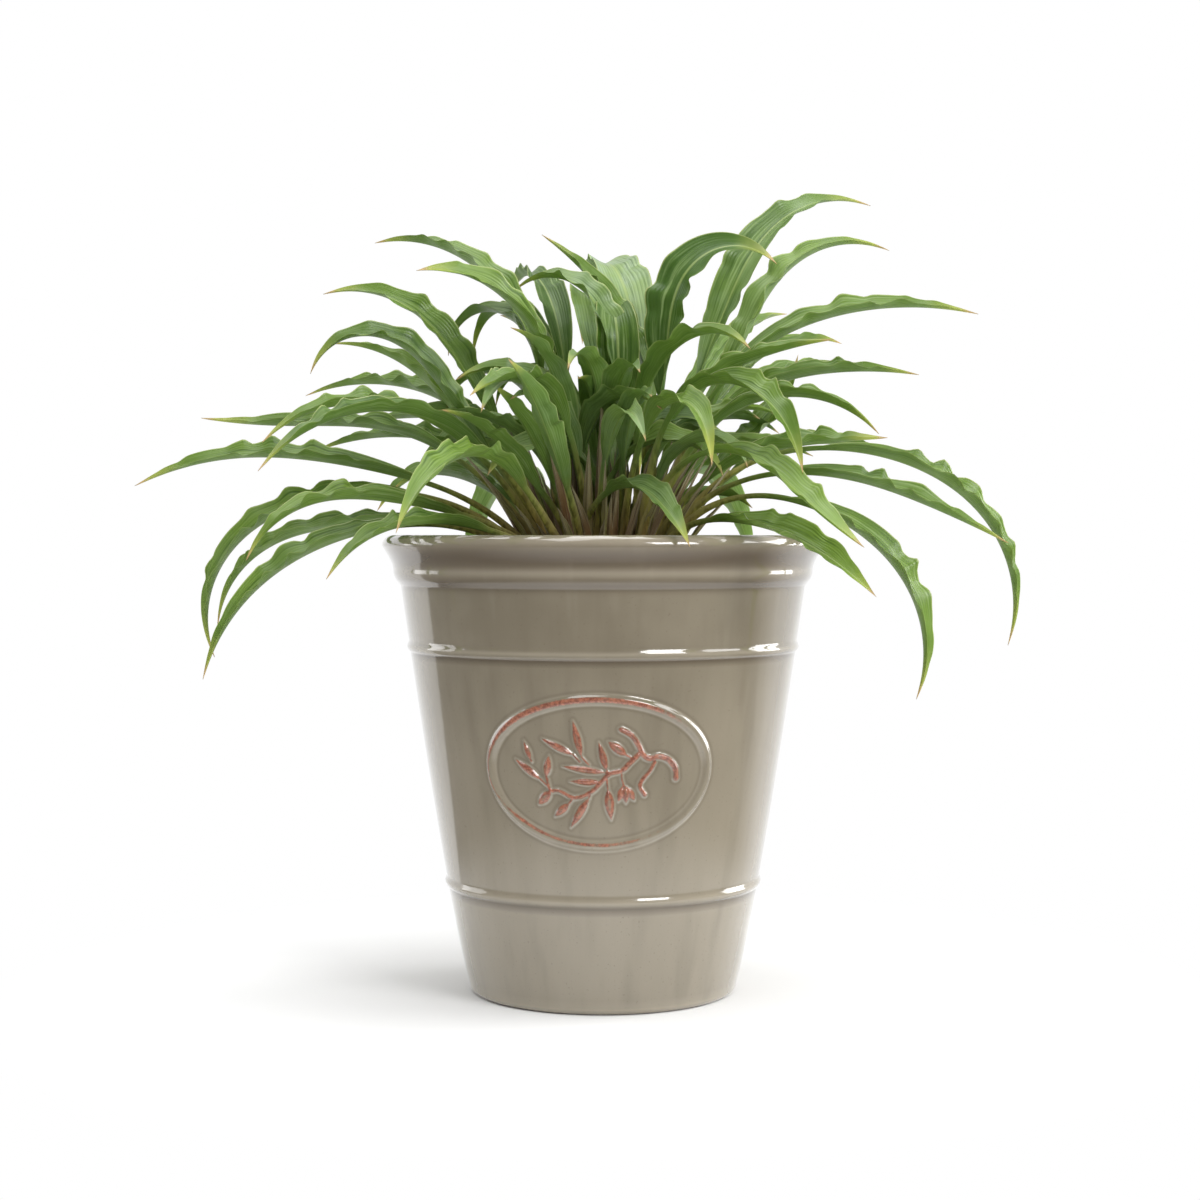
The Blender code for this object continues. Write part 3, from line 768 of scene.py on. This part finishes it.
# Small young leaves between them, too fine for solids of their own.
YOUNG_LEAVES = (
    Leaf(226, 124, 15, (75, 46, 38, 10)),
    Leaf(234, 124, 14, (75, 54, 44, 28)),
    Leaf(135, 168, 14, (88, 75, 60, 15), tone=0.3),
    Leaf(48, 238, 17, (60, 45, 24, -3)),
    Leaf(12, 82, 12, (75, 50, 10, -40)),
    Leaf(95, 176, 23, (91, 90, 90, -95), (13, 322), tone=0.3),
    Leaf(262, 120, 15, (90, 88, 66, -10), (6, 260), tone=0.35),
    Leaf(186, 150, 18, (82, 72, 45, -30), (14, 280), face=40, tone=0.6, glaucous=0.9),
    Leaf(352, 122, 17, (84, 74, 34, -50), (12, 258), face=40, tone=0.4, glaucous=0.8),
    Leaf(202, 118, 16, (84, 68, 10, -60), (16, 292), face=40, tone=0.7, glaucous=0.7),
    Leaf(342, 126, 16, (84, 68, 6, -62), (17, 248), face=40, tone=0.8, glaucous=0.5),
)
INNER_LEAVES = 22              # more of them close to the middle
INNER_SPREAD = 25 * MM
STALK_WIDTH = 4.4 * MM
STALK_SHARE = (0.32, 0.42)     # of the length: of a leaf that starts low, and of an upright one
STALK_ANGLES = (50, 88)        # slopes at the crown that count as low and as upright
BLADE_TAPER = 1.25             # how fast the blade runs out to its point
BLADE_SWELL = 4.7              # which makes it as wide as given where it is widest
CHANNEL = 0.72                 # height of the margin over the midrib, to its distance
STALK_CHANNEL = 0.85           # likewise, on the stalk
WIDE_CHANNEL = ((18, 25), (1.0, 0.6))   # wide blades, in mm, are flatter by this share
RUFFLE_HEIGHT = 2.5 * MM
RUFFLE_FULL = 18               # width in mm from which a leaf has its full ruffle
RUFFLE_LENGTH = 19 * MM
BLADE_THICKNESS = 0.55 * MM
MIDRIB_THICKNESS = 1.1 * MM
MIDRIB_WIDTH = 1.1 * MM
LEAF_ROWS = 145
SMALL_LEAF_ROWS = 73
LEAF_COLUMNS = 13
ROOT_RING = (12 * MM, 32 * MM)   # distance from the middle at which upright and flat leaves start
ROOT_RISE = 1.4 * MM           # of a leaf's root over the crown
FRAME_STEPS = 48               # strides in which the solids' midribs were laid
FRAME_TURNS = range(-24, 25)   # degrees by which a solid may be turned about the crown
FRAME_SHIFTS = tuple(step * 3 * MM for step in range(-2, 5))   # and its root moved outwards
SWAY = 7 * MM                  # how far a tip strays to the side, at most
TIP_ROLL = 14                  # degrees by which a tip is turned over at random, at most
ROLL_WAVE = 8                  # and by which the blade turns to and fro
GOLDEN_TURN = 137.5            # degrees from each small leaf to the next one round the crown


def slope(pitch, share):
    """Slope in degrees at a share of the length, smooth through the four given ones."""
    place = share * 3
    i = min(2, int(place))
    f = place - i
    before = pitch[i - 1] if i else 2 * pitch[0] - pitch[1]
    after = pitch[i + 2] if i < 2 else 2 * pitch[3] - pitch[2]
    enter, leave = (pitch[i + 1] - before) / 2, (after - pitch[i]) / 2
    drop = pitch[i + 1] - pitch[i]
    return pitch[i] + f * (enter + f * (3 * drop - 2 * enter - leave + f * (enter + leave - 2 * drop)))


def root_of(leaf):
    """Root distance and azimuth: steep leaves start near the middle, flat ones outside."""
    if leaf.root:
        return leaf.root[0] * MM, leaf.root[1]
    steep = max(0.0, min(1.0, (leaf.pitch[0] - 40) / 50))
    return float(np.interp(1 - steep ** 2, (0, 1), ROOT_RING)), leaf.azimuth


def profile(leaf, steps):
    """Reach outwards, rise and slope at each station of a leaf, from its root to its tip."""
    lead = 0.5 / FRAME_STEPS - 0.5 / steps
    shares = np.arange(1, steps + 1) / steps + lead
    slopes = np.radians([slope(leaf.pitch, share) for share in shares])
    stride = leaf.length * MM / steps
    reach = np.concatenate(([0.0], np.cumsum(np.cos(slopes)) * stride))
    rise = np.concatenate(([0.0], np.cumsum(np.sin(slopes)) * stride))
    return reach, rise, np.radians([slope(leaf.pitch, i / steps) for i in range(steps + 1)])


def laid(leaf, shape, turn, shift):
    """Points of a leaf's midrib, with the whole leaf turned and its root moved outwards."""
    distance, direction = root_of(leaf)
    distance += shift
    direction = math.radians(direction + turn)
    heading = math.radians(leaf.azimuth + turn)
    root = (distance * math.cos(direction), distance * math.sin(direction))
    return np.stack((root[0] + shape[0] * math.cos(heading), root[1] + shape[0] * math.sin(heading),
                     crown_height(distance) + ROOT_RISE + shape[1]), axis=1)


def place_in_frame(leaf, node):
    """The turn and the move of the root with which a leaf lies along its solid."""
    verts = node.data.vertices
    tree = KDTree(len(verts))
    for vert in verts:
        tree.insert(vert.co, vert.index)
    tree.balance()
    shape = profile(leaf, FRAME_STEPS)
    best = None
    for turn in FRAME_TURNS:
        for shift in FRAME_SHIFTS:
            miss = sum(tree.find(station)[2] for station in laid(leaf, shape, turn, shift)[::8])
            if best is None or miss < best[0]:
                best = (miss, turn, shift)
    return best[1:]


def midrib(leaf, turn, shift, seed, rows):
    """Midrib mesh of a leaf, with the way across and the way up kept at each point."""
    steps = rows - 1
    shape = profile(leaf, steps)
    points = laid(leaf, shape, turn, shift)
    heading = math.radians(leaf.azimuth + turn)
    share = np.linspace(0, 1, rows)
    chance = random.Random(seed)
    outward = np.array((math.cos(heading), math.sin(heading), 0.0))
    up = np.array((0.0, 0.0, 1.0))
    side = np.tile((math.sin(heading), -math.cos(heading), 0.0), (rows, 1))
    over = np.cos(shape[2])[:, None] * up - np.sin(shape[2])[:, None] * outward
    roll = -leaf.face * math.cos(heading) * smooth(0.2, 0.65, share)
    roll += chance.uniform(-TIP_ROLL, TIP_ROLL) * share ** 2
    roll += chance.uniform(-ROLL_WAVE, ROLL_WAVE) * np.sin(share * 5) * share
    roll = np.radians(roll)[:, None]
    across = side * np.cos(roll) + over * np.sin(roll)
    normal = over * np.cos(roll) - side * np.sin(roll)
    sway = chance.uniform(-SWAY, SWAY) * share ** 2
    points = points + side * sway[:, None]
    obj = mesh_object("midrib", points, [], [(i, i + 1) for i in range(steps)])
    store(obj.data, "way_across", across, "FLOAT_VECTOR")
    store(obj.data, "way_up", normal, "FLOAT_VECTOR")
    return obj


def leaf_tree(material):
    """Builds a leaf on its midrib: upper and lower skin, ruffled margin, channelled stalk."""
    tree, given = new_geometry_tree("hosta leaf", (
        "Rows", "Length", "Blade Width", "Stalk Width", "Stalk Share", "Channel", "Ruffle Height",
        "Ruffle Length", "Blade Thickness", "Midrib Thickness", "Tone", "Dry", "Bloom", "Seed"))

    def kept(name, kind="FLOAT"):
        return add_node(tree, "GeometryNodeInputNamedAttribute", {"Name": name}, data_type=kind)

    def keep(geometry, name, value, domain="POINT"):
        return add_node(tree, "GeometryNodeStoreNamedAttribute", {
            "Geometry": geometry, "Name": name, "Value": value}, data_type="FLOAT", domain=domain)

    def from_midrib(value):
        row = reckon("ROUND", along * (given["Rows"] - 1.0))
        return add_node(tree, "GeometryNodeSampleIndex", {
            "Geometry": given["Geometry"], "Value": value, "Index": row}, data_type="FLOAT_VECTOR")

    def wave(seed, pace):
        sockets = {"W": along * pace + (seed + hand), "Scale": 1.0, "Detail": 1.0}
        return add_node(tree, "ShaderNodeTexNoise", sockets, noise_dimensions="1D")

    def lift(way, amount):
        return add_node(tree, "ShaderNodeVectorMath", {0: way, "Scale": amount}, operation="SCALE")

    grid = add_node(tree, "GeometryNodeMeshGrid", {
        "Size X": 2.0, "Size Y": 1.0, "Vertices X": LEAF_COLUMNS, "Vertices Y": given["Rows"]})
    place = add_node(tree, "GeometryNodeInputPosition")
    sideways, lengthways, _ = parts(place)
    sheet = keep(keep(grid, "side", sideways), "along", lengthways + 0.5)
    along, side = kept("along"), kept("side")
    hand = reckon("SIGN", side) * 8.7   # keeps the two margins from waving alike
    out = reckon("ABSOLUTE", side)

    # width: a stalk that narrows upwards, and a blade that swells and runs out to a point
    stalk_share = given["Stalk Share"]
    blade = reckon("MAXIMUM", (along - stalk_share) / (1.0 - stalk_share), 0.0)
    rest = reckon("MAXIMUM", 1.0 - blade, 0.0)
    full = blade * rest ** BLADE_TAPER * BLADE_SWELL
    stalk = given["Stalk Width"] * reckon("MAXIMUM", along * -1.8 + 1.25, 0.75)
    half = (stalk * rest + (given["Blade Width"] - given["Stalk Width"] * 0.5) * full) * 0.5

    # the channel down the middle, and the waves of the margin
    opened = ease(along, stalk_share - 0.08, stalk_share + 0.14)
    fold = half * (opened * (given["Channel"] - STALK_CHANNEL) + STALK_CHANNEL) * out ** 1.4
    swing = along * given["Length"] / given["Ruffle Length"] * math.tau + wave(given["Seed"], 4.0) * 9.0
    swell = ease(along, stalk_share + 0.02, stalk_share + 0.24) * ease(along, 0.985, 0.8) * full
    swell = swell * ease(wave(given["Seed"] + 40.0, 5.0), 0.3, 0.66)
    ripple = reckon("SINE", swing * 2.3) * 0.2 * out ** 4.0
    ruffle = (reckon("SINE", swing) * out ** 1.5 + ripple) * swell * given["Ruffle Height"]
    bulge = reckon("COSINE", swing) * swell * 0.03 + 1.0
    across, normal = (from_midrib(kept(name, "FLOAT_VECTOR")) for name in ("way_across", "way_up"))
    spot = vector("ADD", from_midrib(place), lift(across, half * side * bulge))
    spot = vector("ADD", spot, lift(normal, fold + ruffle))
    upper = add_node(tree, "GeometryNodeSetPosition", {"Geometry": sheet, "Position": spot})

    # thickness: a thin blade with a midrib, and a stalk that is round below
    rim = reckon("SQRT", 1.0 - side * side)
    rib = half * side / MIDRIB_WIDTH
    rib = reckon("EXPONENT", rib * rib * -1.0) * given["Midrib Thickness"] * rest
    thin = given["Blade Thickness"] * rim + rib
    thick = stalk * 0.42 * rim
    body = (opened * (thin - thick) + thick) * ease(along, 0.0, 0.012) * ease(along, 1.03, 0.97)
    body = body * reckon("LESS_THAN", out, 0.999)
    under = lift(normal, body * -1.0)
    lower = add_node(tree, "GeometryNodeSetPosition", {"Geometry": upper, "Offset": under})
    lower = add_node(tree, "GeometryNodeFlipFaces", {0: lower})
    join = tree.nodes.new("GeometryNodeJoinGeometry")
    for skin, is_under in ((lower, 1.0), (upper, 0.0)):
        plug(join, {0: keep(skin, "under", is_under, "FACE")})
    whole = add_node(tree, "GeometryNodeMergeByDistance", {
        "Geometry": Wire(join.outputs[0]), "Distance": 0.01 * MM})
    for name, label in (("tone", "Tone"), ("dry", "Dry"), ("bloom", "Bloom")):
        whole = keep(whole, name, given[label])
    whole = add_node(tree, "GeometryNodeSetShadeSmooth", {"Geometry": whole})
    whole = add_node(tree, "GeometryNodeSetShadeSmooth", {
        "Geometry": whole, "Selection": reckon("GREATER_THAN", out, 0.999), "Shade Smooth": False},
        domain="EDGE")
    return end_tree(tree, whole, material)


def mix_shaders(tree, shader, other, share):
    """Let this share of the surface be the other shader's."""
    both = add_node(tree, "ShaderNodeMixShader", {0: share, 1: Wire(shader.outputs[0]), 2: other})
    plug(tree.nodes["Material Output"], {"Surface": both})


def leaf_material():
    """Living leaf: veined green with painted shade in the furrows between the veins, a pale bloom, paler
    below, stalk brown at its base.
    """
    material, tree, shader, place = new_material("hosta_leaf")
    along, side, tone, below = (fact(tree, name) for name in ("along", "side", "tone", "under"))
    out = reckon("ABSOLUTE", side)
    shade = tone + (grain(place, 38, 3) * 0.7 - 0.35)
    green = tint(colour(62, 100, 8), colour(144, 176, 66), ease(shade, 0.0, 1.0))
    bloom = (ease(grain(place, 60, 3), 0.35, 0.65) * 0.5 + 0.3) * fact(tree, "bloom")
    green = tint(green, colour(162, 186, 144), bloom)
    flow = add_node(tree, "ShaderNodeCombineXYZ", {0: side * 9.0, 1: along * 5.0, 2: tone * 31.0})
    streaks = grain(flow, 1.0, 3, 0.6)
    broad = ease(along, 0.97, 0.7)
    green = tint(green, colour(56, 92, 22), ease(streaks, 0.5, 0.32) * broad * 0.75)
    green = tint(green, colour(166, 192, 124), ease(streaks, 0.5, 0.7) * broad * 0.65)
    veins = (reckon("COSINE", out * (7.5 * math.tau)) * 0.5 + 0.5) * broad
    # darker in the furrows between the veins: painted shade
    green = tint(green, colour(62, 98, 28), ease(veins, 0.5, 0.0) * broad * 0.28)
    green = tint(green, colour(170, 190, 110), ease(out, 0.09, 0.03) * 0.6)
    green = tint(green, colour(196, 206, 136), ease(out, 0.94, 0.99) * 0.8)
    green = tint(green, colour(108, 138, 72), below * 0.5)
    stalk = tint(colour(190, 152, 96), colour(172, 174, 88), ease(along, 0.03, 0.24))
    streak = grain(stretched(place, (400, 400, 60)), 1.0, 3)
    stalk = tint(stalk, colour(74, 56, 34), ease(streak, 0.4, 0.62) * 0.6)
    stalk = tint(stalk, colour(196, 184, 122), ease(out, 0.55, 0.95) * 0.6)
    green = tint(green, stalk, ease(along, 0.4, 0.2))
    ageing = along - fact(tree, "dry") + (grain(place, 120, 2) * 0.05 - 0.025)
    green = tint(green, colour(196, 200, 104), ease(ageing, -0.1, 0.05))
    green = tint(green, colour(204, 174, 124), ease(along, 0.955, 0.985))
    plug(shader, {
        "Base Color": green, "Roughness": 0.31, "Specular IOR Level": below * -0.4 + 0.55,
        "Normal": relief(veins, 0.1 * MM)})
    glow = tint(green, colour(190, 214, 80), 0.5)
    mix_shaders(tree, shader, add_node(tree, "ShaderNodeBsdfTranslucent", {"Color": glow}), 0.3)
    return material


def make_leaf(name, leaf, turn, shift, seed, rows):
    """One leaf, grown on its midrib."""
    obj = midrib(leaf, turn, shift, seed, rows)
    obj.name = name
    upright = smooth(*STALK_ANGLES, leaf.pitch[0])
    grow(obj, LEAF_TREE, {
        "Rows": rows, "Length": leaf.length * MM, "Blade Width": leaf.width * MM,
        "Stalk Width": STALK_WIDTH, "Stalk Share": float(np.interp(upright, (0, 1), STALK_SHARE)),
        "Channel": CHANNEL * float(np.interp(leaf.width, *WIDE_CHANNEL)),
        "Ruffle Height": RUFFLE_HEIGHT * min(1.0, leaf.width / RUFFLE_FULL),
        "Ruffle Length": RUFFLE_LENGTH, "Blade Thickness": BLADE_THICKNESS,
        "Midrib Thickness": MIDRIB_THICKNESS, "Tone": leaf.tone, "Dry": leaf.dry,
        "Bloom": leaf.glaucous, "Seed": seed * 3.7})
    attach(obj, "root")
    return obj


LEAF_TREE = leaf_tree(leaf_material())
for number, leaf in enumerate(LEAVES, 1):
    node = f"leaf_{number:02d}"
    spot = place_in_frame(leaf, frame["nodes"][node])
    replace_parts(make_leaf(f"hosta_{node}", leaf, *spot, number, LEAF_ROWS), node)
for number, leaf in enumerate(YOUNG_LEAVES, 1):
    make_leaf(f"young_leaf_{number}", leaf, 0, 0, 100 + number, LEAF_ROWS)
chance = random.Random(12)
for number in range(1, INNER_LEAVES + 1):
    share = number / INNER_LEAVES
    direction = number * GOLDEN_TURN
    lean = 20 * share + chance.uniform(-4, 4)
    leaf = Leaf(
        direction + chance.uniform(-20, 20), chance.uniform(105, 180), chance.uniform(13, 18),
        (90 - 0.5 * lean, 84 - lean, 46 - 1.7 * lean, chance.uniform(-80, 0)),
        (4 + INNER_SPREAD / MM * share ** 0.5, direction),
        tone=chance.uniform(0.3, 1.0), dry=1.05, glaucous=chance.uniform(0.2, 1.0))
    make_leaf(f"inner_leaf_{number}", leaf, 0, 0, 200 + number, SMALL_LEAF_ROWS)

# ---- old sheaths ----------------------------------------------------------------------------
# Papery brown sheaths of earlier leaves, which stand round the foot of the clump among the stalks.
SHEATHS = 76
SHEATH_ROWS = 29


def sheath_material():
    """Dry papery skin, brown at its foot and grey towards the tip, with pale threads."""
    material, tree, shader, place = new_material("dry_sheath")
    along, side, kind = (fact(tree, name) for name in ("along", "side", "tone"))
    skin = tint(colour(124, 90, 50), colour(134, 112, 82), ease(kind, 0.2, 0.5))
    skin = tint(skin, colour(128, 124, 58), ease(kind, 0.55, 0.8))
    skin = tint(skin, colour(152, 142, 104), ease(along, 0.3, 0.9))
    spread = add_node(tree, "ShaderNodeCombineXYZ", {0: side * 5.0, 1: along})
    threads = grain(vector("ADD", spread, place), 2.2, 3, 0.6)
    skin = tint(skin, colour(196, 186, 158), ease(threads, 0.5, 0.75))
    skin = tint(skin, colour(66, 52, 36), ease(threads, 0.45, 0.25))
    plug(shader, {"Base Color": skin, "Roughness": 0.6, "Normal": relief(threads, 0.4 * MM)})
    return material


SHEATH_TREE = leaf_tree(sheath_material())
for number in range(1, SHEATHS + 1):
    share = number / SHEATHS
    direction = number * GOLDEN_TURN
    distance = 8 + 30 * share ** 0.6
    start = 90 - 34 * share + chance.uniform(-6, 6)
    leaf = Leaf(
        direction + chance.uniform(-25, 25), chance.uniform(50, 105) - 25 * share, chance.uniform(3, 6.5),
        (start, start - 2, start - 6, start - 10), (distance, direction))
    sheath = midrib(leaf, 0, 0, 300 + number, SHEATH_ROWS)
    sheath.name = f"old_sheath_{number}"
    grow(sheath, SHEATH_TREE, {
        "Rows": SHEATH_ROWS, "Length": leaf.length * MM, "Blade Width": leaf.width * MM,
        "Stalk Width": leaf.width * MM, "Stalk Share": 0.05, "Channel": 0.7,
        "Ruffle Height": 0.5 * MM, "Ruffle Length": RUFFLE_LENGTH, "Blade Thickness": 0.4 * MM,
        "Midrib Thickness": 0.4 * MM, "Tone": chance.random(), "Dry": 1.0, "Seed": number * 2.9})
    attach(sheath, "root")

# ---- studio ---------------------------------------------------------------------------------
# A white floor and surround, broad soft lamps at both sides and above, and a camera level with
# the rim, looking very slightly down.
LOOK_AT = Vector((-0.0016, 0.0, 0.2125))
CAMERA_DISTANCE = 1.2
CAMERA_RISE = math.radians(1.7)
LENS = 66
AMBIENT = 0.62                 # light from all round
ROOM_LIGHT = 0.25              # the dim room in front of the plant, as glossy things mirror it
ROOM_EDGE = (0.385, 0.415)     # how far back the white surround starts on the left
ROOM_FADE = (-0.05, 0.55)      # and over what it fades in on the right
FLOOR_FADE = (0.16, 0.34)      # distances over which the floor turns from lit to plain white
WHITE = (1.0, 1.0, 1.0, 1.0)


def seen(tree):
    """1 for what the camera sees directly, and 1 for what it sees mirrored or through glass."""
    path = {socket.name: Wire(socket) for socket in tree.nodes.new("ShaderNodeLightPath").outputs}
    return path["Is Camera Ray"], reckon("MAXIMUM", path["Is Glossy Ray"], path["Is Transmission Ray"])


def surround(way):
    """Brightness that glossy things mirror from this way: a dim room in front, white elsewhere."""
    right, back, _ = parts(vector("NORMALIZE", vector("MULTIPLY", way, (1.0, 1.0, 0.0))))
    level = tint(ease(back, *ROOM_EDGE), ease(back, *ROOM_FADE), ease(right, -0.1, 0.1))
    return level * (1.0 - ROOM_LIGHT) + ROOM_LIGHT


world = bpy.data.worlds.new("studio")
world.use_nodes = True
bpy.context.scene.world = world
sky = world.node_tree
direct, mirrored = seen(sky)
room = surround(add_node(sky, "ShaderNodeTexCoord", out="Generated"))
plain = tint((AMBIENT, AMBIENT, AMBIENT, 1.0), room, mirrored)
plug(sky.nodes["Background"], {"Color": WHITE, "Strength": tint(plain, WHITE, direct)})

bpy.ops.mesh.primitive_circle_add(vertices=64, radius=8.0, fill_type="NGON")
floor = bpy.context.object
floor.name = "floor"
paint, tree, shader, place = new_material("white_floor")
plug(shader, {"Base Color": (0.86, 0.86, 0.86, 1.0), "Roughness": 0.9})
direct, mirrored = seen(tree)
white = add_node(tree, "ShaderNodeEmission", {"Strength": tint(surround(place), WHITE, direct)})
far = ease(add_node(tree, "ShaderNodeVectorMath", {0: place}, "Value", operation="LENGTH"), *FLOOR_FADE)
mix_shaders(tree, shader, white, far * reckon("MAXIMUM", direct, mirrored))
floor.data.materials.append(paint)


def lamp(name, place, size, power, target=LOOK_AT):
    """A soft square lamp that faces the plant."""
    data = bpy.data.lights.new(name, "AREA")
    data.shape = "RECTANGLE"
    data.size, data.size_y = size
    data.energy = power
    obj = bpy.data.objects.new(name, data)
    obj.location = place
    obj.rotation_euler = (Vector(target) - Vector(place)).to_track_quat("-Z", "Y").to_euler()
    bpy.context.scene.collection.objects.link(obj)
    return obj


lamp("front_right", (1.1, -1.4, 1.3), (0.8, 0.8), 20)
lamp("overhead", (-0.2, -0.1, 1.8), (1.4, 1.4), 18)
lamp("side_left", (-1.6, 0.5, 0.6), (0.8, 1.4), 6)
lamp("side_right", (1.7, 0.6, 0.6), (0.8, 1.4), 20)
lamp("high_right", (1.5, -0.3, 1.4), (0.8, 0.8), 8)

camera = bpy.data.objects.new("camera", bpy.data.cameras.new("camera"))
camera.data.lens = LENS
camera.data.sensor_width = 36
away = Vector((0.0, -math.cos(CAMERA_RISE), math.sin(CAMERA_RISE)))
camera.location = LOOK_AT + CAMERA_DISTANCE * away
camera.rotation_euler = (LOOK_AT - camera.location).to_track_quat("-Z", "Y").to_euler()
bpy.context.scene.collection.objects.link(camera)
bpy.context.scene.camera = camera
bpy.context.scene.view_settings.view_transform = "Standard"
